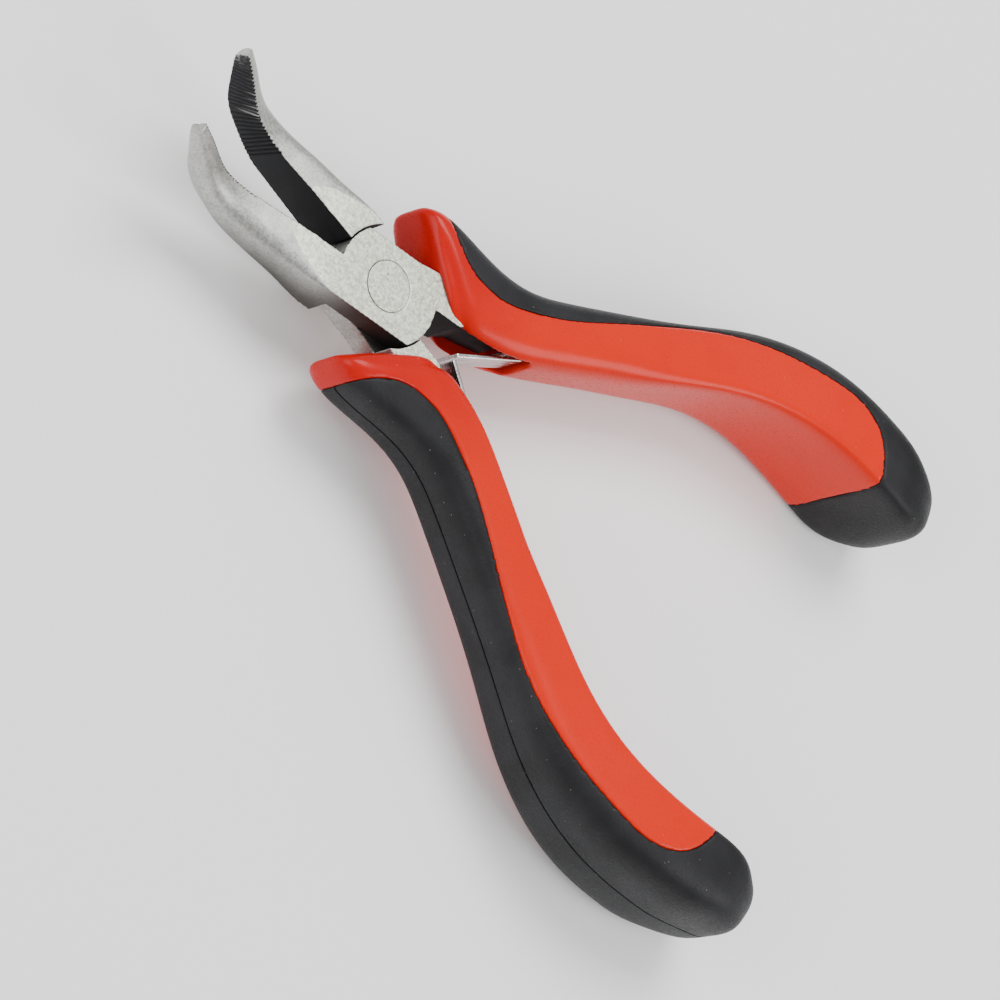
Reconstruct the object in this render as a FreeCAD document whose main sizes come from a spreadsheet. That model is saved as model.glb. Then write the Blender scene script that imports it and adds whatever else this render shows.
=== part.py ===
"""Bent-nose mini pliers: two lapped steel halves on one rivet, two-colour grips, two leaf springs.

Frame: +X runs to the jaws, +Z is the rivet axis, and the origin lies on that axis at the flat
underside of the joint. The upper half has its jaw at +Y and its handle at -Y, and the lower half
is its mirror image. Each half is drawn closed, with its grip face along the X axis, and is then
turned about Z to the open rest position. Every length is in millimetres.
"""
import FreeCAD
import Part
import math
import os
import Sketcher

from FreeCAD import Placement, Rotation, Vector

DRIVING_SIZES = {
    "joint_thickness": 7.0,        # both lapped plates together
    "lap_gap": 0.04,               # running gap between the two lapped plates
    "disc_radius": 8.0,            # arcs at the front and the back of each lapped plate
    "joint_half_width": 5.7,       # a plate's straight flanks lie this far from the axis
    "shoulder_gap": 0.15,          # between a plate's arc and the other half's shoulder
    "open_half_angle": 9.2,        # each half rests this far from closed, in degrees
    "overtravel": 5.0,             # further opening that the grips leave free, in degrees
    "face_gap": 0.03,              # each grip face stays this far from the middle plane
    "jaw_root": 4.0,               # the full-depth jaw is drawn from here, inside the plate
    "jaw_root_end": 12.0,          # end of the ground flats and of the jaw's square root
    "rivet_head_diameter": 6.9,
    "rivet_shank_diameter": 4.4,
    "rivet_head_depth": 1.25,
    "rivet_clearance": 0.08,       # running gap all round the rivet in the upper half
    "neck_root": 3.0,
    "neck_inner": 1.2,             # the neck's inner side lies this far from the middle plane
    "neck_outer": 6.4,
    "neck_end": 14.4,              # the neck's raised inner side ends here, in a slant
    "neck_end_slant": 2.2,
    "step_inner": 2.6,             # behind the slant the neck is recessed, and tapers
    "step_inner_end": 3.7,
    "step_end": 20.5,
    "tang_thickness": 3.4,
    "tang_width": 3.2,
    "grip_lip": 1.8,               # grip moulding above and below the neck
    "grip_end_half_depth": 10.0,
    "grip_gap": 0.4,               # between the grips and what turns past them
    "spring_pin_diameter": 1.5,
    "spring_pin_back": 23.0,
    "spring_pin_side": 4.3,
    "spring_pin_seat": 0.45,       # how far each end of a pin sits in the grip's lips
    "pin_clearance": 0.05,
    "leaf_thickness": 0.55,
    "leaf_height": 5.0,
    "leaf_length": 10.9,
    "leaf_gap": 0.2,               # each leaf's tip stays this far from the middle plane
    "pocket_wall": 0.35,           # free space around a leaf's eye
}

# Cross sections of one jaw, drawn closed: (top edge's x and z, bottom edge's x and z, width, power
# of the rounded outer side). The z of a top edge counts from the top of the joint.
JAW_SECTIONS = [
    (11.0, -0.03, 11.0, 0.0, 5.60, 9.0), (16.0, -0.3, 16.0, 0.0, 5.2, 5.0),
    (20.0, -0.7, 20.0, 0.05, 4.75, 3.8), (23.5, -0.85, 24.0, 0.4, 4.2, 3.3),
    (26.0, -0.55, 27.5, 1.75, 3.7, 3.0), (28.0, 0.1, 30.3, 3.1, 3.2, 3.0),
    (31.0, 2.2, 33.2, 5.7, 2.65, 2.8), (33.8, 4.5, 35.4, 8.8, 2.2, 2.8),
    (36.2, 6.2, 37.0, 11.2, 1.75, 2.8)]
# Cross sections of one handle, drawn closed: (back from the pivot, inner side, outer side, share
# of the way from the joint's half depth to the end's), with both sides out from the middle plane.
HANDLE_SECTIONS = [
    (-1.0, 8.0, 10.8, -0.36), (0.2, 6.4, 12.8, -0.12), (2.0, 4.4, 13.9, 0.0), (4.5, 2.0, 14.4, 0.0),
    (8.0, 0.6, 14.0, 0.0), (14.0, 0.4, 12.7, 0.0), (20.0, 1.1, 12.5, 0.03), (27.0, 3.5, 14.6, 0.07),
    (35.0, 7.0, 18.0, 0.1), (44.0, 11.2, 22.0, 0.16), (53.0, 15.4, 26.4, 0.3),
    (62.0, 18.1, 29.6, 0.52), (71.0, 18.6, 30.6, 0.78), (79.0, 17.5, 29.7, 0.95),
    (86.0, 15.9, 27.9, 1.0), (91.0, 15.0, 25.7, 0.8), (94.5, 15.8, 23.9, 0.36),
    (96.0, 17.8, 22.4, -0.1)]
SECTION_POWER = 3.4                 # how square a handle's rounded sections are
JAW_STEPS = 12                      # points that shape the outer side of a jaw's section
GRIP_STEPS = 24                     # points that shape a handle's section
# Upright front of a handle, which runs slantwise behind the joint.
FRONT_LINE = [(-1.4, 15.2), (0.4, 13.2), (2.8, 10.2), (6.0, 6.4), (9.3, 2.7), (13.0, -1.4)]
# Line on the grip where the soft cover meets the firm core.
COVER_EDGE = [(2.6, 17.0), (4.3, 14.2), (6.7, 11.1), (9.6, 8.8), (13.3, 7.6), (16.5, 7.5),
              (20.6, 8.5), (25.0, 10.1), (33.3, 14.5), (41.6, 19.2), (50.1, 23.4), (59.3, 26.1),
              (69.3, 27.0), (75.5, 26.4), (80.0, 23.6), (82.0, 19.5), (82.6, 12.0)]
# Middle line of the tang inside the grip.
TANG_LINE = [(12.5, 4.9), (20.0, 7.8), (30.0, 10.4), (40.0, 14.6), (50.0, 19.3), (59.0, 22.6)]

doc = FreeCAD.newDocument("BentNosePliers")
sheet = doc.addObject("Spreadsheet::Sheet", "Sizes")
for row, (alias, number) in enumerate(DRIVING_SIZES.items(), start=1):
    sheet.set(f"A{row}", alias)
    sheet.set(f"B{row}", str(number))
    sheet.setAlias(f"B{row}", alias)
doc.recompute()
size = {alias: float(sheet.get(alias)) for alias in DRIVING_SIZES}
middle_height = size["joint_thickness"] / 2
pin_radius = size["spring_pin_diameter"] / 2
eye_radius = pin_radius + size["pin_clearance"] + size["leaf_thickness"]
UP = Vector(0, 0, 1)
FAR = 100.0                         # past the end of anything here
parts = {}


# ---- sketches tied to the sheet ----------------------------------------------------------------

def value(text):
    """Number for a sum of sheet names such as 'neck_inner + leaf_gap/2'."""
    total = 0.0
    sign = 1
    for word in text.split():
        if word in "+-":
            sign = 1 if word == "+" else -1
        else:
            name, _, divisor = word.partition("/")
            total += sign * size[name] / float(divisor or 1)
    return total


def bound(text, flip=1):
    """The same sum as an expression on the sheet, negated when flip is -1."""
    words = [word if word in "+-" else "Sizes." + word for word in text.split()]
    return f"{flip} * (" + " ".join(words) + ")"


def bind(feature, name, text, flip=1):
    feature.setExpression(name, bound(text, flip))


def new_sketch(body, name, role, offset="", flip=1):
    """A sketch on one of the body's own planes, lifted off it along its normal."""
    sketch = body.newObject("Sketcher::SketchObject", name)
    plane = next(item for item in body.Origin.OriginFeatures if item.Role == role)
    sketch.AttachmentSupport = [(plane, "")]
    sketch.MapMode = "FlatFace"
    if offset:
        sketch.AttachmentOffset = Placement(Vector(0, 0, flip * value(offset)), Rotation())
        bind(sketch, "AttachmentOffset.Base.z", offset, flip)
    return sketch


def tie_point(sketch, where, corner, flips):
    """Tie a point's two coordinates to the sheet; an empty text puts it on that axis."""
    settings = zip(("DistanceX", "DistanceY"), corner, (-2, -1), flips)
    for kind, text, axis, flip in settings:
        if text:
            rule = Sketcher.Constraint(kind, -1, 1, *where, flip * value(text))
            index = sketch.addConstraint(rule)
            sketch.setExpression(f"Constraints[{index}]", bound(text, flip))
        else:
            sketch.addConstraint(Sketcher.Constraint("PointOnObject", *where, axis))


def to_point(corner, flips):
    return Vector(flips[0] * value(corner[0]), flips[1] * value(corner[1]), 0)


def draw_outline(sketch, corners, flips=(1, 1)):
    """A closed outline of straight sides between tied corners."""
    points = [to_point(corner, flips) for corner in corners]
    for start, stop in zip(points, points[1:] + points[:1]):
        sketch.addGeometry(Part.LineSegment(start, stop), False)
    for index, corner in enumerate(corners):
        previous = (index - 1) % len(corners)
        sketch.addConstraint(Sketcher.Constraint("Coincident", previous, 2, index, 1))
        tie_point(sketch, (index, 1), corner, flips)


def draw_circle(sketch, diameter_text):
    circle = sketch.addGeometry(Part.Circle(Vector(), UP, value(diameter_text) / 2), False)
    sketch.addConstraint(Sketcher.Constraint("Coincident", circle, 3, -1, 1))
    index = sketch.addConstraint(Sketcher.Constraint("Diameter", circle, value(diameter_text)))
    sketch.setExpression(f"Constraints[{index}]", bound(diameter_text))


def draw_lapped_disc(sketch):
    """A disc cut to a band: two arcs about the pivot joined by two straight flanks."""
    radius = size["disc_radius"]
    half = size["joint_half_width"]
    corner_angle = math.asin(half / radius)
    across = radius * math.cos(corner_angle)
    front = Part.ArcOfCircle(Part.Circle(Vector(), UP, radius), -corner_angle, corner_angle)
    back = Part.ArcOfCircle(Part.Circle(Vector(), UP, radius),
                            math.pi - corner_angle, math.pi + corner_angle)
    top = Part.LineSegment(Vector(across, half, 0), Vector(-across, half, 0))
    bottom = Part.LineSegment(Vector(-across, -half, 0), Vector(across, -half, 0))
    sketch.addGeometry([front, top, back, bottom], False)
    for rule in (("Coincident", 0, 3, -1, 1), ("Coincident", 2, 3, -1, 1),
                 ("Coincident", 0, 2, 1, 1), ("Coincident", 1, 2, 2, 1),
                 ("Coincident", 2, 2, 3, 1), ("Coincident", 3, 2, 0, 1),
                 ("Horizontal", 1), ("Horizontal", 3), ("Equal", 0, 2)):
        sketch.addConstraint(Sketcher.Constraint(*rule))
    tied = (("Radius", 0, radius, "disc_radius", 1),
            ("DistanceY", -1, 1, 1, 1, half, "joint_half_width", 1),
            ("DistanceY", -1, 1, 3, 1, -half, "joint_half_width", -1))
    for *rule, text, flip in tied:
        index = sketch.addConstraint(Sketcher.Constraint(*rule))
        sketch.setExpression(f"Constraints[{index}]", bound(text, flip))


def add_feature(body, kind, name, sketch, length="", reverse=False):
    feature = body.newObject("PartDesign::" + kind, name)
    feature.Profile = sketch
    if length:
        feature.Length = value(length)
        bind(feature, "Length", length)
    else:
        feature.ReferenceAxis = (sketch, ["V_Axis"])
        feature.Angle = 360
    feature.Reversed = reverse
    sketch.Visibility = False
    doc.recompute()
    return feature


# ---- steel -------------------------------------------------------------------------------------

def rivet_profile(sketch, low, high, gap=""):
    """Half outline of the rivet between two levels: a shank, with a countersunk head where a
    level is the joint's own face, and each radius grown by the running gap."""
    grown = f" + {gap}" if gap else ""
    head = "rivet_head_diameter/2" + grown
    shank = "rivet_shank_diameter/2" + grown
    corners = [("", low)]
    corners += [(shank, low)] if low else [(head, ""), (shank, "rivet_head_depth")]
    if high == "joint_thickness":
        corners += [(shank, "joint_thickness - rivet_head_depth"), (head, high)]
    else:
        corners += [(shank, high)]
    corners += [("", high)]
    draw_outline(sketch, corners)


def jaw_section(top_x, top_z, low_x, low_z, width, power, side):
    """Flat grip face on one side, joined round the outer side by a rounded outline."""
    top = Vector(top_x, side * size["face_gap"], size["joint_thickness"] + top_z)
    low = Vector(low_x, side * size["face_gap"], low_z)
    middle = (top + low) / 2
    half = (top - low) / 2
    outward = Vector(0, side * (width - size["face_gap"]), 0)
    points = []
    for step in range(JAW_STEPS + 1):
        angle = math.pi * (step / JAW_STEPS - 0.5)
        across = math.cos(angle) ** (2 / power) if 0 < step < JAW_STEPS else 0.0
        up = math.copysign(abs(math.sin(angle)) ** (2 / power), angle)
        points.append(middle + half * up + outward * across)
    curve = Part.BSplineCurve()
    curve.interpolate(points)
    return Part.Wire([Part.makeLine(top, low), curve.toShape()])


def add_fixed_piece(name, shape):
    piece = doc.addObject("Part::Feature", name)
    piece.Shape = shape
    return piece


def add_blank(name, side):
    """The flat forging: lapped plate, square jaw root on `side`, neck on the other side."""
    body = doc.addObject("PartDesign::Body", name + "_blank")
    plate_low = "joint_thickness/2 + lap_gap/2" if side > 0 else ""

    sketch = new_sketch(body, name + "_plate_outline", "XY_Plane", plate_low)
    draw_lapped_disc(sketch)
    add_feature(body, "Pad", name + "_plate", sketch, "joint_thickness/2 - lap_gap/2")

    sketch = new_sketch(body, name + "_root_outline", "XY_Plane")
    draw_outline(sketch, [("jaw_root", "face_gap"), ("jaw_root_end", "face_gap"),
                          ("jaw_root_end", "joint_half_width"), ("jaw_root", "joint_half_width")],
                 (1, side))
    add_feature(body, "Pad", name + "_root", sketch, "joint_thickness")

    sketch = new_sketch(body, name + "_neck_outline", "XY_Plane")
    draw_outline(sketch, [("neck_root", "neck_inner"), ("neck_root", "joint_half_width"),
                          ("disc_radius", "neck_outer"), ("step_end", "neck_outer"),
                          ("step_end", "step_inner_end"), ("neck_end", "step_inner"),
                          ("neck_end - neck_end_slant", "neck_inner")], (-1, -side))
    add_feature(body, "Pad", name + "_neck", sketch, "joint_thickness")
    return body


def add_rivet_solid(name, low, high, gap=""):
    body = doc.addObject("PartDesign::Body", name)
    sketch = new_sketch(body, name + "_outline", "XZ_Plane")
    rivet_profile(sketch, low, high, gap)
    add_feature(body, "Revolution", name + "_turned", sketch)
    return body


def add_cut(name, base, tool):
    cut = doc.addObject("Part::Cut", name)
    cut.Base = base
    cut.Tool = tool
    return cut


def make_steel_half(name, side):
    """One half: blank, nose and tang in one, with room for the other half's plate."""
    upper = side > 0
    nose = Part.makeLoft([jaw_section(*section, side) for section in JAW_SECTIONS], True, False)
    whole = doc.addObject("Part::MultiFuse", name + "_whole")
    whole.Shapes = [add_blank(name, side), add_fixed_piece(name + "_nose", nose),
                    add_fixed_piece(name + "_tang", tang_solid(side))]
    room = doc.addObject("Part::Cylinder", name + "_room")
    bind(room, "Radius", "disc_radius + shoulder_gap")
    bind(room, "Height", "joint_thickness/2 + lap_gap/2")
    if upper:
        bore = add_rivet_solid(name + "_bore", "joint_thickness/2", "joint_thickness",
                               "rivet_clearance")
    else:
        bind(room, "Placement.Base.z", "joint_thickness/2 - lap_gap/2")
        bore = add_rivet_solid(name + "_bore", "", "joint_thickness/2")
    shouldered = add_cut(name + "_shouldered", whole, room)
    parts[name] = add_cut(name, shouldered, bore)
    doc.recompute()


# ---- grips -------------------------------------------------------------------------------------

def handle_point(back, out, side, height=0.0):
    """A point of a closed handle; the handle of side 1 lies at -Y."""
    return Vector(-back, -side * out, height)


def smooth_edge(points, side):
    curve = Part.BSplineCurve()
    curve.interpolate([handle_point(*point, side) for point in points])
    return curve.toShape()


def straight_edges(points, side):
    corners = [handle_point(*point, side) for point in points]
    return [Part.makeLine(start, stop) for start, stop in zip(corners, corners[1:])]


def upright_solid(edges, low, high):
    """Solid between two levels over a closed flat outline."""
    face = Part.Face(Part.Wire(Part.__sortEdges__(edges)))
    face.translate(Vector(0, 0, low))
    return face.extrude(Vector(0, 0, high - low))


def box_between(low_corner, high_corner):
    low = Vector(*(min(pair) for pair in zip(low_corner, high_corner)))
    high = Vector(*(max(pair) for pair in zip(low_corner, high_corner)))
    return Part.makeBox(*(high - low), low)


def turned(shape, angle):
    copy = shape.copy()
    copy.rotate(Vector(), UP, angle)
    return copy


def section_wire(back, inner, outer, half_depth, side):
    """Rounded rectangle across the handle."""
    middle = (inner + outer) / 2
    half_width = (outer - inner) / 2
    points = []
    for step in range(GRIP_STEPS):
        angle = 2 * math.pi * step / GRIP_STEPS
        across, up = (math.copysign(abs(part) ** (2 / SECTION_POWER), part)
                      for part in (math.cos(angle), math.sin(angle)))
        points.append(handle_point(back, middle + half_width * across, side,
                                   middle_height + half_depth * up))
    curve = Part.BSplineCurve()
    curve.interpolate(points, PeriodicFlag=True)
    return Part.Wire(curve.toShape())


def handle_body(side):
    """The whole outside of one handle, before it is divided into core and cover."""
    front = middle_height + size["grip_lip"]
    flare = size["grip_end_half_depth"] - front
    sections = [section_wire(back, inner, outer, front + share * flare, side)
                for back, inner, outer, share in HANDLE_SECTIONS]
    whole = Part.makeLoft(sections, True, False)
    outer_end, inner_end = FRONT_LINE[0], FRONT_LINE[-1]
    around = [inner_end, (-FAR, inner_end[1]), (-FAR, outer_end[1]), outer_end]
    edges = [smooth_edge(FRONT_LINE, side), *straight_edges(around, side)]
    return whole.cut(upright_solid(edges, -FAR, FAR))


def tang_solid(side):
    """Flat bar that runs down the middle of the handle, with mitred corners."""
    half = size["tang_width"] / 2
    points = [Vector(back, out, 0) for back, out in TANG_LINE]
    near = []
    far = []
    for index, point in enumerate(points):
        before = points[max(index - 1, 0)]
        after = points[min(index + 1, len(points) - 1)]
        along = (after - before).normalize()
        normal = Vector(-along.y, along.x, 0)
        near.append(point - normal * half)
        far.append(point + normal * half)
    outline = near + far[::-1] + near[:1]
    edges = straight_edges([(point.x, point.y) for point in outline], side)
    half_depth = size["tang_thickness"] / 2
    return upright_solid(edges, middle_height - half_depth, middle_height + half_depth)


def passing_space(side):
    """Space that the other half's plate and jaw root sweep, seen from this half."""
    gap = size["grip_gap"]
    radius = size["disc_radius"] + gap
    half = size["joint_half_width"] + gap
    low, high = -size["joint_thickness"], 2 * size["joint_thickness"]
    band = Part.makeCylinder(radius, high - low, Vector(0, 0, low))
    band = band.common(box_between((-radius, -half, low), (radius, half, high)))
    root = box_between((0, 0, low), (size["jaw_root_end"] + gap, -side * half, high))
    tool = band.fuse(root)
    travel = 2 * size["open_half_angle"] + size["overtravel"]
    turns = 4
    return [turned(tool, -side * travel * turn / turns) for turn in range(turns + 1)]


def spring_pocket(side):
    """Open-sided space in the inner side of the grip for the leaf spring, its pin and the neck."""
    top = size["joint_thickness"]
    free = eye_radius + size["pocket_wall"]
    back, out = size["spring_pin_back"], size["spring_pin_side"]
    eye_space = Part.makeCylinder(free, top, handle_point(back, out, side))
    mouth = box_between(handle_point(back, 0, side),
                        handle_point(size["neck_end"] - size["neck_end_slant"], out, side, top))
    throat = box_between(handle_point(back + free, 0, side), handle_point(back, out, side, top))
    beside_neck = box_between(handle_point(back, 0, side),
                              handle_point(size["disc_radius"], size["neck_inner"], side, top))
    return eye_space.fuse([mouth, throat, beside_neck])


def make_grips(name, side, steel_half):
    """A firm core, and a soft cover over its outer side and its end."""
    whole = handle_body(side)
    first, last = COVER_EDGE[0], COVER_EDGE[-1]
    around = [last, (FAR, last[1]), (FAR, FAR), (first[0], FAR), first]
    outside = upright_solid([smooth_edge(COVER_EDGE, side), *straight_edges(around, side)],
                            -FAR, FAR)
    cutters = [steel_half, *passing_space(side), spring_pocket(side), spring_pin(side)]
    for kind, shape in (("core", whole.cut(outside)), ("cover", whole.common(outside))):
        for cutter in cutters:
            shape = shape.cut(cutter)
        parts[f"{name}_grip_{kind}"] = add_fixed_piece(f"{name}_grip_{kind}", shape)


# ---- springs -----------------------------------------------------------------------------------

def spring_pin(side):
    seat = size["spring_pin_seat"]
    foot = handle_point(size["spring_pin_back"], size["spring_pin_side"], side, -seat)
    return Part.makeCylinder(pin_radius, size["joint_thickness"] + 2 * seat, foot)


def make_leaf_spring(name, side):
    """A flat strip with an eye at its root, drawn with the eye at the origin and the strip along
    X, then set on its pin so that its tip rests against the middle plane."""
    body = doc.addObject("PartDesign::Body", name)
    hole = "spring_pin_diameter + pin_clearance + pin_clearance"
    sketch = new_sketch(body, name + "_eye_outline", "XY_Plane")
    draw_circle(sketch, hole + " + leaf_thickness + leaf_thickness")
    add_feature(body, "Pad", name + "_eye", sketch, "leaf_height")
    sketch = new_sketch(body, name + "_strip_outline", "XY_Plane")
    inner = "spring_pin_diameter/2 + pin_clearance"
    outer = inner + " + leaf_thickness"
    draw_outline(sketch, [("", inner), ("leaf_length", inner), ("leaf_length", outer), ("", outer)],
                 (1, side))
    add_feature(body, "Pad", name + "_strip", sketch, "leaf_height")
    sketch = new_sketch(body, name + "_hole_outline", "XY_Plane")
    draw_circle(sketch, hole)
    add_feature(body, "Pocket", name + "_hole", sketch, "leaf_height", True)

    root = Rotation(UP, side * size["open_half_angle"]).multVec(
        handle_point(size["spring_pin_back"], size["spring_pin_side"], side))
    clear = abs(root.y) - size["leaf_gap"]
    strip_reach = math.hypot(size["leaf_length"], eye_radius)
    strip_angle = math.degrees(math.atan2(eye_radius, size["leaf_length"]))
    rise = math.degrees(math.asin(clear / strip_reach)) - strip_angle
    level = middle_height - size["leaf_height"] / 2
    body.Placement = Placement(root + UP * level, Rotation(UP, side * rise))
    parts[name] = body
    print(f"{name}: root at {root.x:.2f}, {root.y:.2f}, strip {rise:.2f} degrees from the X axis")


for side, name in ((1, "upper"), (-1, "lower")):
    make_steel_half(name + "_jaw_half", side)
    make_grips(name, side, parts[name + "_jaw_half"].Shape)
    parts[name + "_spring_pin"] = add_fixed_piece(name + "_spring_pin", spring_pin(side))
    rest = Placement(Vector(), Rotation(UP, side * size["open_half_angle"]))
    for piece in ("jaw_half", "grip_core", "grip_cover", "spring_pin"):
        parts[f"{name}_{piece}"].Placement = rest
    make_leaf_spring(name + "_leaf_spring", side)
parts["pivot_rivet"] = add_rivet_solid("pivot_rivet", "", "joint_thickness")
doc.recompute()

for item in doc.Objects:
    if "Invalid" in item.State or "Error" in item.State:
        raise RuntimeError(f"{item.Name} is {item.State}")
for name, piece in parts.items():
    piece.Label = name
    if piece.Shape.isNull() or not piece.Shape.isValid():
        raise RuntimeError(f"{name} has no valid shape")
os.makedirs("parts", exist_ok=True)
for name, piece in parts.items():
    piece.Shape.exportStep(f"parts/{name}.step")
    box = piece.Shape.BoundBox
    volumes = [round(solid.Volume, 1) for solid in piece.Shape.Solids]
    print(f"{name}: volumes {volumes}, {box.XLength:.1f} x {box.YLength:.1f} x {box.ZLength:.1f}")
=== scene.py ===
# %% [markdown]
# # Bent-nose mini pliers, a lesson in cells
#
# The tool is small, about 133 mm long when closed. Two steel halves lap over each other on one
# rivet, each handle is a firm orange-red grip with a dark soft cover over its outer side, and two
# leaf springs push the handles apart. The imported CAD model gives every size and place. This file
# adds what a CAD model leaves out: softened edges, jaw teeth, the cover's parting line and the
# finishes.

# %% Load the frame
import math

import bmesh
import bpy
import numpy as np
from mathutils import Matrix, Vector
from mathutils.bvhtree import BVHTree


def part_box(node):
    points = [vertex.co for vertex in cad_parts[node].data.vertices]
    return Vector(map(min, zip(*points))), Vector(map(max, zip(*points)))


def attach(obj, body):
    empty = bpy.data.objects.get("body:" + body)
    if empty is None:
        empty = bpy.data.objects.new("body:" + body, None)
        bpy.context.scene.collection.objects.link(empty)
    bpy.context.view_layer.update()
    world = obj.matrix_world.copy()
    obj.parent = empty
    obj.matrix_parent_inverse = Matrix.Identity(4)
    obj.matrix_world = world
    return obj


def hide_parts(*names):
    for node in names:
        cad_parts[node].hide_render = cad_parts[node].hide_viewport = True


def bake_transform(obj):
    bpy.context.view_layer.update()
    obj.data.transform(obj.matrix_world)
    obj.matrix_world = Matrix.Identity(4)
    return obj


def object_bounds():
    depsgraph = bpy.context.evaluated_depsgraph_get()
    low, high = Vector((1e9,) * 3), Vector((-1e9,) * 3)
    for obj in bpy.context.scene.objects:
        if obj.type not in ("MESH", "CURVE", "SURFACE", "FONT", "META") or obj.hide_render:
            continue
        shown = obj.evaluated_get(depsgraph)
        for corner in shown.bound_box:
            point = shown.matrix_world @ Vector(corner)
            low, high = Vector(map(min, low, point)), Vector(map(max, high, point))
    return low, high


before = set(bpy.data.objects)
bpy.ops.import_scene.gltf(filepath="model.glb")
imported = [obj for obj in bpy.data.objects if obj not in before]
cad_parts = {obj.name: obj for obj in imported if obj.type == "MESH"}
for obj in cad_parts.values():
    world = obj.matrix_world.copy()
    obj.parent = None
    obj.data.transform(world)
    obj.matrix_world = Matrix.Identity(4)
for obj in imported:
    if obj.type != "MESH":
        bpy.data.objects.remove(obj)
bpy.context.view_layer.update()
MM = 0.001
OPEN_ANGLE = math.radians(9.2)          # each half rests this far from closed
JOINT_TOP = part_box("pivot_rivet")[1].z
MID_HEIGHT = JOINT_TOP / 2
HALVES = {"upper": 1, "lower": -1}      # the side of Y that each half's jaw lies on
print("joint thickness", round(JOINT_TOP / MM, 2), "mm, nodes", len(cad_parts))

# %% [markdown]
# ## Helpers
#
# A CAD node's mesh is loose triangles. A copy of it is merged, cut into even voxels and smoothed,
# which softens every edge by about one voxel, the way a mould or a tumbling drum leaves it. The
# same voxels let a cutter be taken from the shape cleanly afterwards.

# %% Copy a CAD node as a closed mesh


def copy_of(node, name):
    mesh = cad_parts[node].data.copy()
    piece = bpy.data.objects.new(name, mesh)
    bpy.context.scene.collection.objects.link(piece)
    work = bmesh.new()
    work.from_mesh(mesh)
    bmesh.ops.remove_doubles(work, verts=work.verts, dist=1e-7)
    work.to_mesh(mesh)
    work.free()
    mesh.materials.clear()
    for layer in list(mesh.uv_layers):
        mesh.uv_layers.remove(layer)
    return piece


# %% Turn an object's modifiers into a plain mesh


def settle(piece):
    bpy.context.view_layer.update()
    evaluated = piece.evaluated_get(bpy.context.evaluated_depsgraph_get())
    mesh = bpy.data.meshes.new_from_object(evaluated)
    piece.modifiers.clear()
    old = piece.data
    piece.data = mesh
    mesh.name = piece.name
    bpy.data.meshes.remove(old)
    return piece


# %% Soften a shape


def soften(piece, voxel, passes, factor=0.5):
    remesh = piece.modifiers.new("even_voxels", "REMESH")
    remesh.mode = "VOXEL"
    remesh.voxel_size = voxel
    remesh.use_smooth_shade = True
    smooth = piece.modifiers.new("soft_edges", "SMOOTH")
    smooth.iterations = passes
    smooth.factor = factor
    settle(piece)
    print(piece.name, len(piece.data.vertices), "points at", round(voxel / MM, 2), "mm")
    return piece


# %% Turn a point from the closed to the open position


def opened(point, side):
    turn = Matrix.Rotation(side * OPEN_ANGLE, 3, "Z")
    return turn @ Vector(point)


# %% Feel for a surface from outside


def first_hit(tree, target, outward, far=80.0):
    """The first point of a shape on the way from far outside to the target."""
    outward = Vector(outward).normalized()
    hit = tree.ray_cast(Vector(target) + outward * far, -outward)[0]
    return hit if hit else Vector(target)


# %% Make a mesh object from points and faces


def new_piece(name, points, faces):
    mesh = bpy.data.meshes.new(name)
    mesh.from_pydata([tuple(point) for point in points], [], faces)
    piece = bpy.data.objects.new(name, mesh)
    bpy.context.scene.collection.objects.link(piece)
    return piece


# %% [markdown]
# ## Finishes
#
# Each finish is a small node tree on Object coordinates, so a grain has the same size everywhere.
# A helper adds nodes and links in one line each, which keeps the recipes short enough to read.

# %% A short way to write node trees


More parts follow.
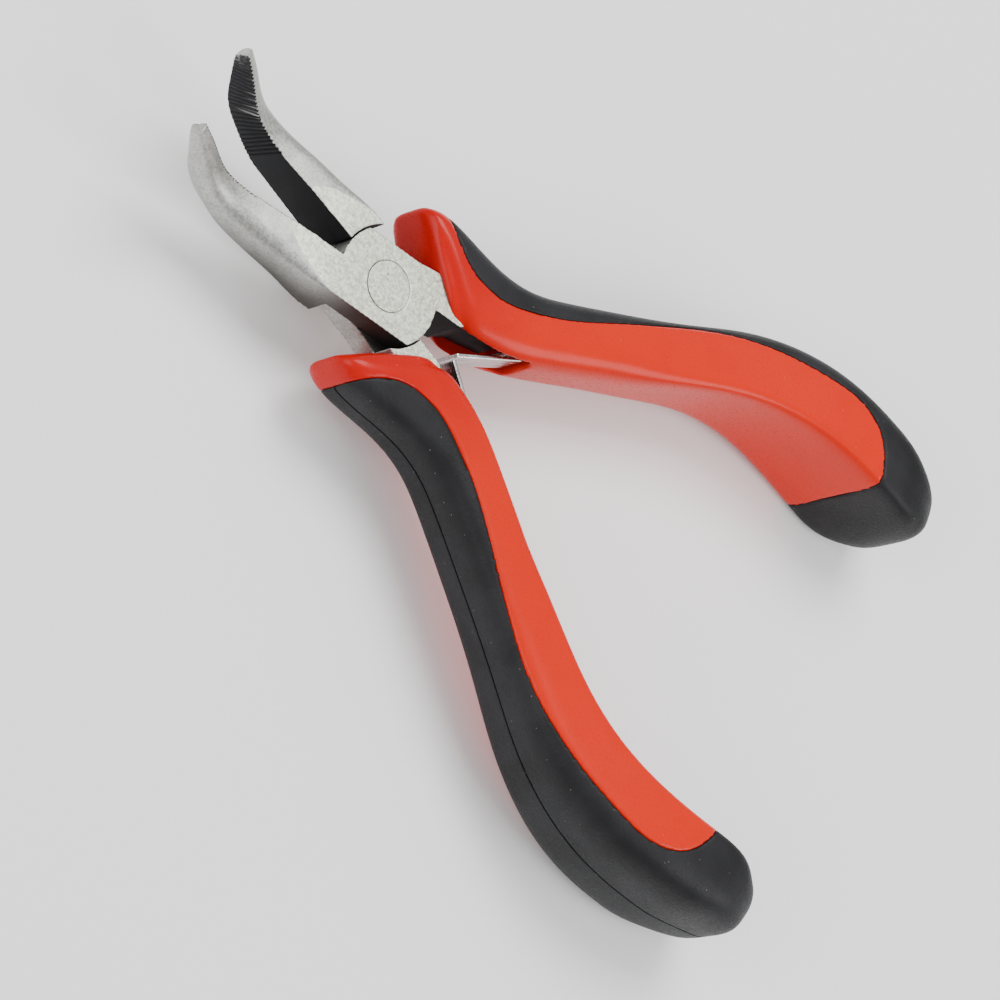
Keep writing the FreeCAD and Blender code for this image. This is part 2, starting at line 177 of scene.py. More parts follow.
class Recipe:
    """A material's node tree, with one method for each kind of node that the finishes use."""

    def __init__(self, name):
        self.material = bpy.data.materials.new(name)
        self.material.use_nodes = True
        self.tree = self.material.node_tree
        self.shader = next(node for node in self.tree.nodes if node.type == "BSDF_PRINCIPLED")
        self.place = self.add("ShaderNodeTexCoord").outputs["Object"]

    def add(self, kind, **settings):
        node = self.tree.nodes.new(kind)
        for name, setting in settings.items():
            setattr(node, name, setting)
        return node

    def feed(self, socket, source):
        if isinstance(source, bpy.types.NodeSocket):
            self.tree.links.new(source, socket)
        else:
            socket.default_value = source

    def noise(self, scale, detail=3.0, rough=0.55, where=None):
        node = self.add("ShaderNodeTexNoise")
        self.feed(node.inputs["Vector"], where or self.place)
        node.inputs["Scale"].default_value = scale
        node.inputs["Detail"].default_value = detail
        node.inputs["Roughness"].default_value = rough
        return node.outputs["Fac"]

    def cells(self, scale):
        node = self.add("ShaderNodeTexVoronoi")
        self.feed(node.inputs["Vector"], self.place)
        node.inputs["Scale"].default_value = scale
        return node.outputs["Distance"]

    def stretch(self, scale, turn=(0, 0, 0)):
        node = self.add("ShaderNodeMapping")
        self.feed(node.inputs["Vector"], self.place)
        node.inputs["Scale"].default_value = scale
        node.inputs["Rotation"].default_value = turn
        return node.outputs["Vector"]

    def math(self, operation, first, second=0.0, clamp=False):
        node = self.add("ShaderNodeMath", operation=operation, use_clamp=clamp)
        self.feed(node.inputs[0], first)
        self.feed(node.inputs[1], second)
        return node.outputs[0]

    def ramp(self, source, low, high, start=0.0, stop=1.0):
        """Map low..high to start..stop, held at both ends."""
        node = self.add("ShaderNodeMapRange", interpolation_type="SMOOTHSTEP")
        self.feed(node.inputs["Value"], source)
        for name, number in (("From Min", low), ("From Max", high),
                             ("To Min", start), ("To Max", stop)):
            node.inputs[name].default_value = number
        return node.outputs["Result"]

    def mix(self, share, first, second):
        node = self.add("ShaderNodeMix", data_type="RGBA")
        self.feed(node.inputs["Factor"], share)
        self.feed(node.inputs[6], first)
        self.feed(node.inputs[7], second)
        return node.outputs[2]

    def bump(self, height, distance, strength=1.0):
        node = self.add("ShaderNodeBump")
        self.feed(node.inputs["Height"], height)
        node.inputs["Distance"].default_value = distance
        node.inputs["Strength"].default_value = strength
        self.feed(self.shader.inputs["Normal"], node.outputs["Normal"])

    def attribute(self, name):
        return self.add("ShaderNodeAttribute", attribute_name=name).outputs["Fac"]

    def finish(self, **sockets):
        for name, source in sockets.items():
            self.feed(self.shader.inputs[name.replace("_", " ")], source)
        return self.material


# %% [markdown]
# ### Forged steel
#
# The halves are forged, tumbled and ground flat on the joint. What a camera sees is a pale grey
# grain, darker in its pits, with small dark marks on the flats. The grip faces of the jaws keep
# their black heat-treatment scale, and the inner sides of the necks are painted black. Painted
# shade darkens the joint's outer flanks, most near the joint and toward their undersides, and the
# lapped face in the notch. The concave shoulder walls that face the pivot are painted black as
# shade.
# Painted masks on the mesh say where each finish lies: "black", "worn" and "ground", and one more
# mask holds the painted shade.

# %% Steel with black scale and ground flats


def steel_finish(name, ground_all_over=False):
    steel = Recipe(name)
    grain = steel.noise(2600, 4, 0.7)
    cloud = steel.noise(420, 3)
    fine = steel.noise(1300, 3, 0.65)
    pits = steel.ramp(steel.cells(1500), 0.06, 0.22)
    marks = steel.ramp(steel.cells(330), 0.035, 0.06)
    tone = steel.math("ADD", steel.math("MULTIPLY", grain, 0.8),
                      steel.math("MULTIPLY", cloud, 0.2))
    bare = steel.mix(steel.ramp(tone, 0.36, 0.66), (0.34, 0.34, 0.32, 1), (0.56, 0.56, 0.53, 1))
    flat = steel.mix(steel.ramp(fine, 0.35, 0.65), (0.56, 0.58, 0.49, 1), (0.80, 0.82, 0.70, 1))
    dull = steel.mix(0.4, flat, (0.25, 0.25, 0.2, 1))
    flat = steel.mix(steel.ramp(grain, 0.32, 0.55), dull, flat)
    flat = steel.mix(marks, (0.20, 0.19, 0.16, 1), flat)
    ground = 1.0 if ground_all_over else steel.attribute("ground")
    # Painted shade: the joint's flanks, darkest at the joint and toward their undersides, and the
    # lapped face in the notch are darkened almost to black.
    bare = steel.mix(steel.attribute("painted_shade"), bare, (0.045, 0.040, 0.036, 1))
    colour = steel.mix(ground, bare, flat)
    scale = steel.mix(steel.ramp(grain, 0.4, 0.7),
                      (0.004, 0.004, 0.006, 1), (0.013, 0.013, 0.016, 1))
    # The black mask holds the scale on the grip faces, the black necks and painted shade on the
    # shoulder walls, less wear at the tips.
    worn = steel.math("SUBTRACT", steel.attribute("black"),
                      steel.math("MULTIPLY", steel.attribute("worn"), steel.ramp(grain, 0.35, 0.6)),
                      clamp=True)
    colour = steel.mix(worn, colour, scale)
    height = steel.math("ADD", steel.math("MULTIPLY", grain, 0.6),
                        steel.math("MULTIPLY", pits, 0.25))
    steel.bump(height, 0.00006, 0.55)
    rough = steel.math("ADD", steel.ramp(grain, 0.3, 0.7, 0.40, 0.56),
                       steel.math("MULTIPLY", worn, 0.18))
    metal = steel.math("SUBTRACT", 0.92, steel.math("MULTIPLY", worn, 0.70))
    return steel.finish(Base_Color=colour, Roughness=rough, Metallic=metal)


# %% [markdown]
# ### Moulded plastic and soft rubber
#
# The core is a glossy orange-red plastic with faint flow clouds. It is painted a little deeper in
# colour toward the joint, as painted shade. The cover is a soft, nearly black rubber with
# a fine leathery grain and light dust in it.

# %% Orange-red plastic


def plastic_finish():
    plastic = Recipe("orange_red_plastic")
    cloud = plastic.noise(180, 2)
    grain = plastic.noise(3200, 2)
    split = plastic.add("ShaderNodeSeparateXYZ")
    plastic.feed(split.inputs[0], plastic.place)
    # Painted shade: toward the joint the plastic is painted darker and redder.
    joint_shade = plastic.ramp(split.outputs["X"], -0.030, -0.002)
    shade = plastic.math("ADD", joint_shade, plastic.ramp(cloud, 0.3, 0.7, -0.10, 0.10), clamp=True)
    colour = plastic.mix(shade, (0.60, 0.013, 0.0, 1), (0.46, 0.002, 0.0, 1))
    specks = plastic.ramp(plastic.cells(420), 0.030, 0.045)
    colour = plastic.mix(specks, (0.70, 0.10, 0.04, 1), colour)
    plastic.bump(plastic.math("ADD", plastic.math("MULTIPLY", grain, 0.12),
                              plastic.math("MULTIPLY", cloud, 0.5)), 0.00004, 0.5)
    rough = plastic.ramp(grain, 0.3, 0.7, 0.26, 0.36)
    return plastic.finish(Base_Color=colour, Roughness=rough, Specular_IOR_Level=0.15,
                          Coat_Weight=0.10, Coat_Roughness=0.14)


# %% Dark soft cover


def cover_finish():
    cover = Recipe("dark_soft_cover")
    leather = cover.cells(2300)
    grain = cover.noise(3600, 3)
    cloud = cover.noise(140, 2)
    dust = cover.ramp(cover.cells(640), 0.035, 0.055, 1.0, 0.0)
    colour = cover.mix(cover.ramp(cloud, 0.3, 0.7),
                       (0.007, 0.007, 0.008, 1), (0.014, 0.014, 0.016, 1))
    colour = cover.mix(cover.math("MULTIPLY", dust, 0.5), colour, (0.30, 0.29, 0.25, 1))
    cover.bump(cover.math("ADD", cover.math("MULTIPLY", leather, 0.5),
                          cover.math("MULTIPLY", grain, 0.5)), 0.00007, 0.6)
    rough = cover.ramp(grain, 0.3, 0.7, 0.44, 0.58)
    return cover.finish(Base_Color=colour, Roughness=rough, Specular_IOR_Level=0.22)


# %% Spring steel and the pins


def bright_finish(name, dark, light, rough_low, rough_high):
    bright = Recipe(name)
    streak = bright.noise(700, 3, 0.5, bright.stretch((0.3, 0.3, 3.0)))
    grain = bright.noise(2400, 3)
    colour = bright.mix(bright.ramp(streak, 0.35, 0.65), dark, light)
    bright.bump(bright.math("ADD", streak, bright.math("MULTIPLY", grain, 0.5)), 0.00003, 0.4)
    rough = bright.ramp(grain, 0.3, 0.7, rough_low, rough_high)
    return bright.finish(Base_Color=colour, Roughness=rough, Metallic=1.0)


STEEL = steel_finish("forged_steel")
RIVET_STEEL = steel_finish("rivet_steel", True)
PLASTIC = plastic_finish()
COVER = cover_finish()
SPRING = bright_finish("spring_steel", (0.55, 0.55, 0.56, 1), (0.86, 0.86, 0.87, 1), 0.16, 0.28)
PIN = bright_finish("pin_steel", (0.16, 0.09, 0.05, 1), (0.34, 0.22, 0.14, 1), 0.38, 0.55)
print("finishes:", [material.name for material in bpy.data.materials])

# %% [markdown]
# ## Steel halves
#
# A half is one forging: lapped plate, bent jaw, neck and a tang that the grip hides. The visible
# part is softened at a fine voxel. Behind the neck the hidden tang keeps the CAD mesh. The teeth
# are cut across the bent grip face. Geometry Nodes repeat one wedge along the jaw's own bent
# middle line, and a boolean takes the wedges from the steel.

# %% Where a half's points lie when it is closed


def closed_points(piece, side):
    """Points and normals in millimetres, turned to the closed position and, for the lower half,
    mirrored, so that each half's jaw lies at positive Y."""
    count = len(piece.data.vertices)
    points = np.empty(count * 3, np.float32)
    normals = np.empty(count * 3, np.float32)
    piece.data.vertices.foreach_get("co", points)
    piece.data.vertex_normals.foreach_get("vector", normals)
    turn = np.array(Matrix.Rotation(-side * OPEN_ANGLE, 3, "Z")).T
    mirror = np.array((1, side, 1))
    return points.reshape(-1, 3) @ turn * mirror / MM, normals.reshape(-1, 3) @ turn * mirror


def set_closed_points(piece, side, points):
    turn = np.array(Matrix.Rotation(side * OPEN_ANGLE, 3, "Z")).T
    moved = (points * MM * np.array((1, side, 1))) @ turn
    piece.data.vertices.foreach_set("co", moved.astype(np.float32).ravel())
    piece.data.update()


def paint(piece, name, values):
    layer = piece.data.attributes.new(name, "FLOAT", "POINT")
    layer.data.foreach_set("value", np.clip(values, 0, 1).astype(np.float32))


def step_up(values, low, high):
    share = np.clip((values - low) / (high - low), 0, 1)
    return share * share * (3 - 2 * share)


# %% Teeth: a tree that repeats one wedge along a line


def tooth_tree():
    """Wedges on the points of the line that it is given, square to the line."""
    tree = bpy.data.node_groups.new("teeth_along_line", "GeometryNodeTree")
    tree.interface.new_socket("Geometry", in_out="INPUT", socket_type="NodeSocketGeometry")
    tree.interface.new_socket("Geometry", in_out="OUTPUT", socket_type="NodeSocketGeometry")
    for name, kind in (("Teeth", "Int"), ("Width", "Float"), ("Half pitch", "Float"),
                       ("Depth", "Float"), ("Finish", "Material")):
        tree.interface.new_socket(name, in_out="INPUT", socket_type="NodeSocket" + kind)
    add = tree.nodes.new
    given = add("NodeGroupInput")
    curve = add("GeometryNodeMeshToCurve")
    even = add("GeometryNodeResampleCurve")
    wedge = add("GeometryNodeMeshCylinder")
    wedge.inputs["Vertices"].default_value = 4
    wedge.inputs["Radius"].default_value = 1
    wedge.inputs["Depth"].default_value = 1
    size = add("ShaderNodeCombineXYZ")
    repeat = add("GeometryNodeInstanceOnPoints")
    tangent = add("GeometryNodeInputTangent")
    turn = add("FunctionNodeAlignRotationToVector")
    turn.axis = "X"
    real = add("GeometryNodeRealizeInstances")
    coat = add("GeometryNodeSetMaterial")
    result = add("NodeGroupOutput")
    for source, target in ((given.outputs["Geometry"], curve.inputs[0]),
                           (curve.outputs[0], even.inputs["Curve"]),
                           (given.outputs["Teeth"], even.inputs["Count"]),
                           (even.outputs[0], repeat.inputs["Points"]),
                           (wedge.outputs["Mesh"], repeat.inputs["Instance"]),
                           (tangent.outputs[0], turn.inputs["Vector"]),
                           (turn.outputs[0], repeat.inputs["Rotation"]),
                           (given.outputs["Half pitch"], size.inputs[0]),
                           (given.outputs["Depth"], size.inputs[1]),
                           (given.outputs["Width"], size.inputs[2]),
                           (size.outputs[0], repeat.inputs["Scale"]),
                           (repeat.outputs[0], real.inputs[0]),
                           (real.outputs[0], coat.inputs["Geometry"]),
                           (given.outputs["Finish"], coat.inputs["Material"]),
                           (coat.outputs[0], result.inputs[0])):
        tree.links.new(source, target)
    return tree


def apply_tree(piece, tree, **settings):
    nodes = piece.modifiers.new("made_by_nodes", "NODES")
    nodes.node_group = tree
    for item in tree.interface.items_tree:
        if item.item_type == "SOCKET" and item.in_out == "INPUT" and item.name in settings:
            nodes[item.identifier] = settings[item.name]
    return settle(piece)


# %% Cut one shape from another


def take_away(piece, cutter):
    before = len(piece.data.polygons)
    cut = piece.modifiers.new("cut", "BOOLEAN")
    cut.operation = "DIFFERENCE"
    cut.solver = "MANIFOLD"
    cut.object = cutter
    settle(piece)
    bpy.data.objects.remove(cutter)
    print(piece.name, "faces", before, "->", len(piece.data.polygons))


# %% One jaw's teeth as a cutter
TOOTH_COUNT = 27
TOOTH_DEPTH = 0.30
TOOTH_WIDTH = 9.0
TOOTH_HALF_PITCH = 0.22
FACE_GAP = 0.03                         # from the middle plane to a closed jaw's grip face
TEETH_TREE = tooth_tree()
# The bent middle line of the grip face, closed, as (x, z) in millimetres.
JAW_LINE = [(23.2, 3.3), (26.7, 4.1), (29.2, 5.2), (32.1, 7.5), (34.6, 10.1), (36.5, 12.1)]


def teeth_cutter(name, side):
    points = [opened((x * MM, side * FACE_GAP * MM, z * MM), side) for x, z in JAW_LINE]
    edges = [(index, index + 1) for index in range(len(points) - 1)]
    line = bpy.data.meshes.new(name)
    line.from_pydata([tuple(point) for point in points], edges, [])
    cutter = bpy.data.objects.new(name, line)
    bpy.context.scene.collection.objects.link(cutter)
    settings = {"Teeth": TOOTH_COUNT, "Width": TOOTH_WIDTH * MM,
                "Half pitch": TOOTH_HALF_PITCH * MM,
                "Depth": TOOTH_DEPTH * MM, "Finish": STEEL}
    return apply_tree(cutter, TEETH_TREE, **settings)


# %% Make both steel halves
STEEL_VOXEL = 0.14 * MM
RIVET_VOXEL = 0.10 * MM
HIDDEN_FROM = -24.0                     # behind this the tang is inside the grip, closed x in mm


def keep_side(piece, side, forward):
    """Cut a half square to its own length and keep the front or the hidden back."""
    work = bmesh.new()
    work.from_mesh(piece.data)
    place = opened((HIDDEN_FROM * MM, 0, 0), side)
    normal = opened((1, 0, 0), side)
    everything = work.verts[:] + work.edges[:] + work.faces[:]
    cut = bmesh.ops.bisect_plane(work, geom=everything, plane_co=place, plane_no=normal,
                                 clear_inner=forward, clear_outer=not forward)
    rim = [item for item in cut["geom_cut"] if isinstance(item, bmesh.types.BMEdge)]
    bmesh.ops.edgeloop_fill(work, edges=rim)
    bmesh.ops.triangulate(work, faces=work.faces[:])
    work.to_mesh(piece.data)
    work.free()


# Sections of a jaw's root: (closed x, section power, width, middle height, half depth).
ROOT = np.array([(8.3, 30.0, 5.72, 3.50, 3.50), (10.0, 13.0, 5.65, 3.49, 3.49),
                 (12.0, 7.0, 5.52, 3.45, 3.45), (14.0, 5.2, 5.36, 3.40, 3.40),
                 (16.0, 4.5, 5.19, 3.35, 3.35), (18.0, 4.2, 5.00, 3.27, 3.23),
                 (21.0, 3.9, 4.78, 3.15, 3.09)])
ROOT_START, ROOT_FADE, ROOT_END = 8.4, 18.0, 21.0
ROOT_STEP = 0.1                         # between measured heights
ROOT_PROBE = 1.5                        # heights are measured this far out from the grip face
INNER_CORNER = 8.1                      # closed x where both plates and both jaws meet
CORNER_PULL = 0.07                      # keeps the softened corners of the halves apart there


def bevel_root(piece, side):
    """Draw the square root of a jaw in to rounded sections, so that it runs into the nose."""
    points, _ = closed_points(piece, side)
    faces = [face.vertices for face in piece.data.polygons]
    tree = BVHTree.FromPolygons([Vector(point) for point in points], faces)
    mid_z = MID_HEIGHT / MM
    places = np.arange(ROOT_START, ROOT_END + ROOT_STEP, ROOT_STEP)
    targets = [(place, ROOT_PROBE, mid_z) for place in places]
    tops, feet = (np.array([first_hit(tree, target, (0, 0, up)).z for target in targets])
                  for up in (1, -1))
    x, out, z = points.T
    power, width, middle, depth = (np.interp(x, ROOT[:, 0], ROOT[:, column])
                                   for column in (1, 2, 3, 4))
    was_middle, was_depth = (np.interp(x, places, found)
                             for found in ((tops + feet) / 2, (tops - feet) / 2))
    share = 1 - step_up(x, ROOT_FADE, ROOT_END)
    middle = was_middle + share * (middle - was_middle)
    depth = was_depth + share * (depth - was_depth)
    inside = (x > ROOT_START) & (x < ROOT_END) & (out > 0)
    levelled = np.where(inside, middle + (z - was_middle) / was_depth * depth, z)
    wide = np.abs(out) / width + 1e-6
    tall = np.abs(levelled - middle) / depth + 1e-6
    reach = (wide ** power + tall ** power) ** (1 / power)
    shrink = np.where(inside, 1 + share * (1 / np.maximum(reach, 1.0) - 1), 1.0)
    points[:, 1] = out * shrink
    points[:, 2] = np.where(inside, middle + (levelled - middle) * shrink, z)
    away = np.linalg.norm(points - (INNER_CORNER, 0, mid_z), axis=1)
    pull = CORNER_PULL * (1 - step_up(away, 0.15, 0.6))
    points[:, 1] += pull
    points[:, 2] += side * pull
    set_closed_points(piece, side, points)


# Where the masks start and are full, closed, in millimetres.
FACE_FROM = (4.8, 5.1)
TEETH_FROM = (21.9, 22.3)
NECK_FROM = (5.2, 5.4)
TIP_WEAR = (35.6, 36.6)
GROUND_END = 16.4                       # the ground flat ends here at the grip face
GROUND_BOW = 0.27                       # and curves back with the square of the distance out


def paint_steel(piece, side):
    """Paint the masks for black scale, black necks and painted shade on the shoulder walls, for
    wear, for painted shade on the flanks and lapped faces, and for ground flats.
    """
    points, normals = closed_points(piece, side)
    x, out, z = points.T
    facing_out, upright = normals[:, 1], normals[:, 2]
    reach = 0.10 + step_up(x, *TEETH_FROM) * (TOOTH_DEPTH + 0.12)
    on_face = step_up(-out, -reach - 0.05, -reach) * step_up(-facing_out, 0.05, 0.35)
    on_face *= step_up(x, *FACE_FROM)
    # The inner sides of the necks are painted black.
    neck = step_up(facing_out, 0.4, 0.7) * step_up(-x, *NECK_FROM) * step_up(-out, 0.4, 0.8)
    radius = np.hypot(x, out)
    facing_pivot = -(normals[:, 0] * x + facing_out * out) / radius
    # Painted shade: the concave shoulder walls that face the pivot are painted black.
    shoulder = step_up(radius, 7.9, 8.0) * step_up(-radius, -8.5, -8.4)
    shoulder *= step_up(facing_pivot, 0.4, 0.7)
    paint(piece, "black", np.maximum.reduce([on_face, neck, shoulder]))
    # Painted shade: the outer flanks near the joint are darkened, most at the joint and toward
    # their undersides, and the lapped faces at the middle height nearly as much.
    flank = step_up(facing_out, 0.1, 0.6) * (1 - step_up(x, 14.0, 30.0))
    flank *= 0.92 - 0.80 * step_up(z, 0.5, 7.0) * step_up(x, 2.0, 12.0)
    lapped = step_up(np.abs(upright), 0.6, 0.9) * (np.abs(z - MID_HEIGHT / MM) < 0.2)
    paint(piece, "painted_shade", np.maximum(flank, 0.95 * lapped))
    boundary = GROUND_END - GROUND_BOW * out ** 2
    flat = step_up(upright, 0.90, 0.97) * step_up(boundary - x, -0.15, 0.15) * step_up(z, 4, 5)
    paint(piece, "ground", flat)
    paint(piece, "worn", 0.4 * step_up(x, *TIP_WEAR))


def make_steel_half(name, side):
    node = name + "_jaw_half"
    front = copy_of(node, node + "_steel")
    tang = copy_of(node, node + "_tang")
    keep_side(front, side, True)
    keep_side(tang, side, False)
    soften(front, STEEL_VOXEL, 2)
    bevel_root(front, side)
    take_away(front, teeth_cutter(node + "_teeth", side))
    paint_steel(front, side)
    for piece in (front, tang):
        piece.data.materials.clear()
        piece.data.materials.append(STEEL)
        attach(piece, name + "_half")
    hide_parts(node)


for half, side in HALVES.items():
    make_steel_half(half, side)
rivet = soften(copy_of("pivot_rivet", "pivot_rivet_ground"), RIVET_VOXEL, 1)
rivet.data.materials.append(RIVET_STEEL)
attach(rivet, "lower_half")
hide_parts("pivot_rivet")

# %% [markdown]
# ## Grips
#
# Core and cover meet on one seam. Each is softened by itself, so the seam reads as a fine line.
# The core's rims round the joint are much rounder than its seam, so it is smoothed again with a
# weight that grows with the distance from the cover. The rim of its slanting front is first moved
# in on an arc. Toward its end the handle has a crisp ridge
# along its inner edges, which a change of the section's power gives. The cover's parting line is
# a thin slot cut along the middle height of its outer side.

# %% Measure a handle's outside with rays
GRIP_VOXEL = 0.30 * MM
SECTION_POWER = 3.4                     # the CAD sections' power
RIDGE_POWER = 10.0                      # the inner edges' power where the ridge is crisp
RIDGE_START = 31                        # back from the pivot; nothing ahead of this is moved
RIDGE_RISE = (36.0, 60.0)               # the ridge gets crisp over this stretch
RIDGE_FALL = (84.0, 93.0)               # and soft again over this one
RIDGE_DEPTH = 0.999                     # keeps the ridge inside the CAD outline


def handle_tree(name, side):
    """A search tree of the whole handle, closed and with its jaw side at positive Y."""
    points = []
    faces = []
    for kind in ("core", "cover"):
        piece = copy_of(f"{name}_grip_{kind}", "measured")
        closed, _ = closed_points(piece, side)
        faces += [[len(points) + index for index in face.vertices] for face in piece.data.polygons]
        points += [Vector(point) for point in closed]
        bpy.data.objects.remove(piece)
    return BVHTree.FromPolygons(points, faces)


def measure_handle(tree):
    """Rows of back, inner side, outer side and half depth, closed, in millimetres."""
    rows = []
    mid_z = MID_HEIGHT / MM
    for back in range(RIDGE_START - 1, 96):
        outer = first_hit(tree, (-back, 0, mid_z), (0, -1, 0)).y
        inner = first_hit(tree, (-back, outer, mid_z), (0, 1, 0)).y
        top = first_hit(tree, (-back, (inner + outer) / 2, mid_z), (0, 0, 1)).z
        rows.append((back, -inner, -outer, top - mid_z))
    return np.array(rows)


def sharpen_ridge(piece, side, rows):
    """Raise the power of a handle's sections on its inner side."""
    points, _ = closed_points(piece, side)
    back = -points[:, 0]
    inner, outer, depth = (np.interp(back, rows[:, 0], rows[:, column]) for column in (1, 2, 3))
    middle = (inner + outer) / 2
    half = np.maximum((outer - inner) / 2, 1e-3)
    across = (-points[:, 1] - middle) / half
    up = (points[:, 2] - MID_HEIGHT / MM) / np.maximum(depth, 1e-3)
    share = step_up(back, *RIDGE_RISE) * (1 - step_up(back, *RIDGE_FALL))
    power = SECTION_POWER + share * (RIDGE_POWER - SECTION_POWER)
    wide, tall = np.abs(across) + 1e-6, np.abs(up) + 1e-6
    old = (wide ** SECTION_POWER + tall ** SECTION_POWER) ** (1 / SECTION_POWER)
    new = (wide ** power + tall ** power) ** (1 / power)
    grow = np.where((across < 0) & (back > RIDGE_START), old / new, 1.0)
    points[:, 1] = -(middle + across * grow * half)
    points[:, 2] = MID_HEIGHT / MM + up * grow * np.maximum(depth, 1e-3) * RIDGE_DEPTH
    set_closed_points(piece, side, points)


# %% Round a handle's front
FRONT_REACH = 13.2                      # back plus out on the front's slanting line
FRONT_RADIUS = 2.4
FRONT_HALF_DEPTH = 5.3
FRONT_INNER, FRONT_OUTER = 0.6, 14.1    # the handle's sides there


def round_front(piece, side):
    """Round the rim between a handle's upright front and its top and underside."""
    points, _ = closed_points(piece, side)
    back, out = -points[:, 0], -points[:, 1]
    lift = points[:, 2] - MID_HEIGHT / MM
    across = np.abs(2 * out - FRONT_INNER - FRONT_OUTER) / (FRONT_OUTER - FRONT_INNER)
    across = np.clip(across, 0, 0.97)
    depth = FRONT_HALF_DEPTH * (1 - across ** SECTION_POWER) ** (1 / SECTION_POWER)
    behind = (back + out - FRONT_REACH) / math.sqrt(2)
    wide = 1 - np.maximum(behind, 0) / FRONT_RADIUS
    tall = 1 - np.maximum(depth - np.abs(lift), 0) / FRONT_RADIUS
    corner = (wide > 0) & (tall > 0)
    scale = np.where(corner, np.maximum(wide, tall) / np.maximum(np.hypot(wide, tall), 1e-6), 1)
    shift = (wide - wide * scale) * FRONT_RADIUS / math.sqrt(2)
    lower = (tall - tall * scale) * FRONT_RADIUS
    points[:, 0] -= shift
    points[:, 1] -= shift
    points[:, 2] -= np.sign(lift) * np.minimum(lower, np.abs(lift))
    set_closed_points(piece, side, points)


# %% The cover's parting line as a cutter
PARTING_WIDTH = 0.22
PARTING_DEPTH = 0.30
PARTING_OUTSIDE = 0.8                   # the cutter stands this far out of the cover
END_BACK = 84.0                         # the line turns round the handle's end from here
END_TURN = 120                          # degrees that it turns through


def parting_cutter(name, side, tree, rows):
    mid_z = MID_HEIGHT / MM
    middle = float(np.interp(END_BACK, rows[:, 0], (rows[:, 1] + rows[:, 2]) / 2))
    paths = [((-back, -5.0, mid_z), (0, -1, 0)) for back in np.arange(1.0, END_BACK, 1.0)]
    for degrees in range(0, END_TURN + 1, 6):
        angle = math.radians(degrees)
        paths.append(((-END_BACK, -middle, mid_z), (-math.sin(angle), -math.cos(angle), 0)))
    points = []
    for target, outward in paths:
        hit = first_hit(tree, target, outward)
        outward = Vector(outward)
        for reach in (-PARTING_DEPTH, PARTING_OUTSIDE):
            for lift in (-PARTING_WIDTH / 2, PARTING_WIDTH / 2):
                point = hit + outward * reach + Vector((0, 0, lift))
                points.append(opened((point.x * MM, side * point.y * MM, point.z * MM), side))
    faces = [(0, 1, 3, 2)]
    for index in range(len(paths) - 1):
        near, far = 4 * index, 4 * index + 4
        for a, b in ((0, 1), (1, 3), (3, 2), (2, 0)):
            faces.append((near + a, near + b, far + b, far + a))
    last = 4 * (len(paths) - 1)
    faces.append((last, last + 2, last + 3, last + 1))
    cutter = new_piece(name, points, faces)
    work = bmesh.new()
    work.from_mesh(cutter.data)
    bmesh.ops.recalc_face_normals(work, faces=work.faces[:])
    work.to_mesh(cutter.data)
    work.free()
    return cutter


# %% Make both grips


def smooth_away_from(piece, other, near, far, passes):
    """Smooth a piece with a weight that grows with the distance from another piece."""
    search = BVHTree.FromObject(other, bpy.context.evaluated_depsgraph_get())
    group = piece.vertex_groups.new(name="away")
    for vertex in piece.data.vertices:
        gap = search.find_nearest(vertex.co)[3]
        share = min(max((gap - near) / (far - near), 0), 1)
        if share:
            group.add([vertex.index], share, "REPLACE")
    smooth = piece.modifiers.new("round_rims", "SMOOTH")
    smooth.iterations = passes
    smooth.factor = 0.5
    smooth.vertex_group = group.name
    settle(piece)
    piece.vertex_groups.clear()


def make_grip(name, side):
    tree = handle_tree(name, side)
    rows = measure_handle(tree)
    core = copy_of(name + "_grip_core", name + "_grip_core_moulding")
    cover = copy_of(name + "_grip_cover", name + "_grip_cover_skin")
    bpy.context.view_layer.update()
    soften(core, GRIP_VOXEL, 1)
    round_front(core, side)
    smooth_away_from(core, cover, 0.5 * MM, 2.0 * MM, 18)
    soften(cover, GRIP_VOXEL, 2)
    take_away(cover, parting_cutter(name + "_parting", side, tree, rows))
    for piece, material, node, slot in ((core, PLASTIC, "core", "orange_red_plastic"),
                                        (cover, COVER, "cover", "dark_soft_cover")):
        sharpen_ridge(piece, side, rows)
        piece.data.materials.clear()
        piece.data.materials.append(material)
        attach(piece, name + "_half")
        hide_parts(f"{name}_grip_{node}")


for half, side in HALVES.items():
    make_grip(half, side)

# %% [markdown]
# ## Springs and pins
#
# Each leaf is a strip rolled round its pin. The CAD leaf turns as one rigid piece. A real one
# bends at its root. Here the visible leaf is a softened copy of the CAD leaf.

# %% Leaf springs
SPRING_VOXEL = 0.09 * MM


def make_leaf(name, side):
    node = name + "_leaf_spring"
    leaf = copy_of(node, node + "_strip")
    soften(leaf, SPRING_VOXEL, 2)
    leaf.data.materials.append(SPRING)
    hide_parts(node)
    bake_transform(leaf)
    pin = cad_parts[name + "_spring_pin"]
    pin.data.materials.clear()
    pin.data.materials.append(PIN)


for half, side in HALVES.items():
    make_leaf(half, side)

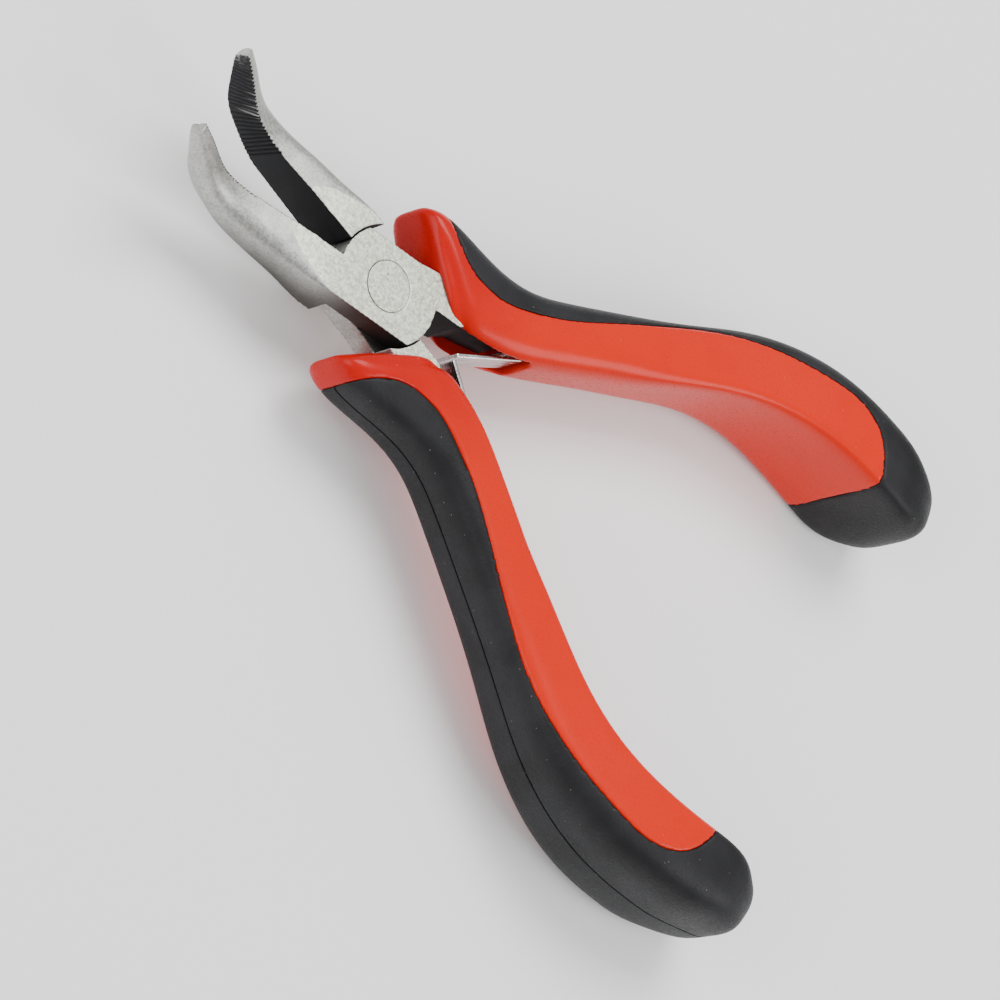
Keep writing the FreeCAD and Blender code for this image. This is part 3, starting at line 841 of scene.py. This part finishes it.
# %% [markdown]
# ## Floor, light and camera
#
# The tool lies on its side on a pale sheet. Large soft lights give broad highlights on the steel
# and the plastic, as in a catalogue.

# %% Floor
low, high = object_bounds()
FLOOR_SIZE = 3.0
FLOOR_DROP = 0.0002
floor_points = [(x * FLOOR_SIZE, y * FLOOR_SIZE, low[2] - FLOOR_DROP)
                for x, y in ((-1, -1), (1, -1), (1, 1), (-1, 1))]
floor = new_piece("floor", floor_points, [(0, 1, 2, 3)])
pale = Recipe("pale_sheet")
floor.data.materials.append(pale.finish(Base_Color=(0.93, 0.93, 0.93, 1), Roughness=0.9))

# %% Lights


def soft_light(name, place, target, width, power):
    lamp = bpy.data.lights.new(name, "AREA")
    lamp.shape = "SQUARE"
    lamp.size = width
    lamp.energy = power
    light = bpy.data.objects.new(name, lamp)
    light.location = place
    light.rotation_euler = (Vector(target) - Vector(place)).to_track_quat("-Z", "Y").to_euler()
    bpy.context.scene.collection.objects.link(light)


soft_light("key", (0.10, -0.35, 0.75), (-0.03, 0, 0), 0.45, 6.6)
soft_light("fill", (0.55, 0.45, 0.45), (-0.03, 0, 0), 0.6, 4.0)
soft_light("back", (-0.55, 0.10, 0.50), (-0.03, 0, 0), 0.4, 2.9)
world = bpy.data.worlds.new("studio")
world.use_nodes = True
world.node_tree.nodes["Background"].inputs["Color"].default_value = (1, 1, 1, 1)
world.node_tree.nodes["Background"].inputs["Strength"].default_value = 0.56
bpy.context.scene.world = world

# %% Camera
SENSOR = 36.0
LENS = 144.24
CAMERA_PLACE = Vector((0.19069, 0.27573, 0.40226))
RIGHT = Vector((-0.65607, -0.40616, 0.63609))
UP = Vector((0.62690, -0.76256, 0.15968))
lens = bpy.data.cameras.new("camera")
lens.sensor_width = SENSOR
lens.lens = LENS
camera = bpy.data.objects.new("camera", lens)
turn = Matrix((RIGHT, UP, RIGHT.cross(UP))).transposed().to_4x4()
camera.matrix_world = Matrix.Translation(CAMERA_PLACE) @ turn
bpy.context.scene.collection.objects.link(camera)
bpy.context.scene.camera = camera
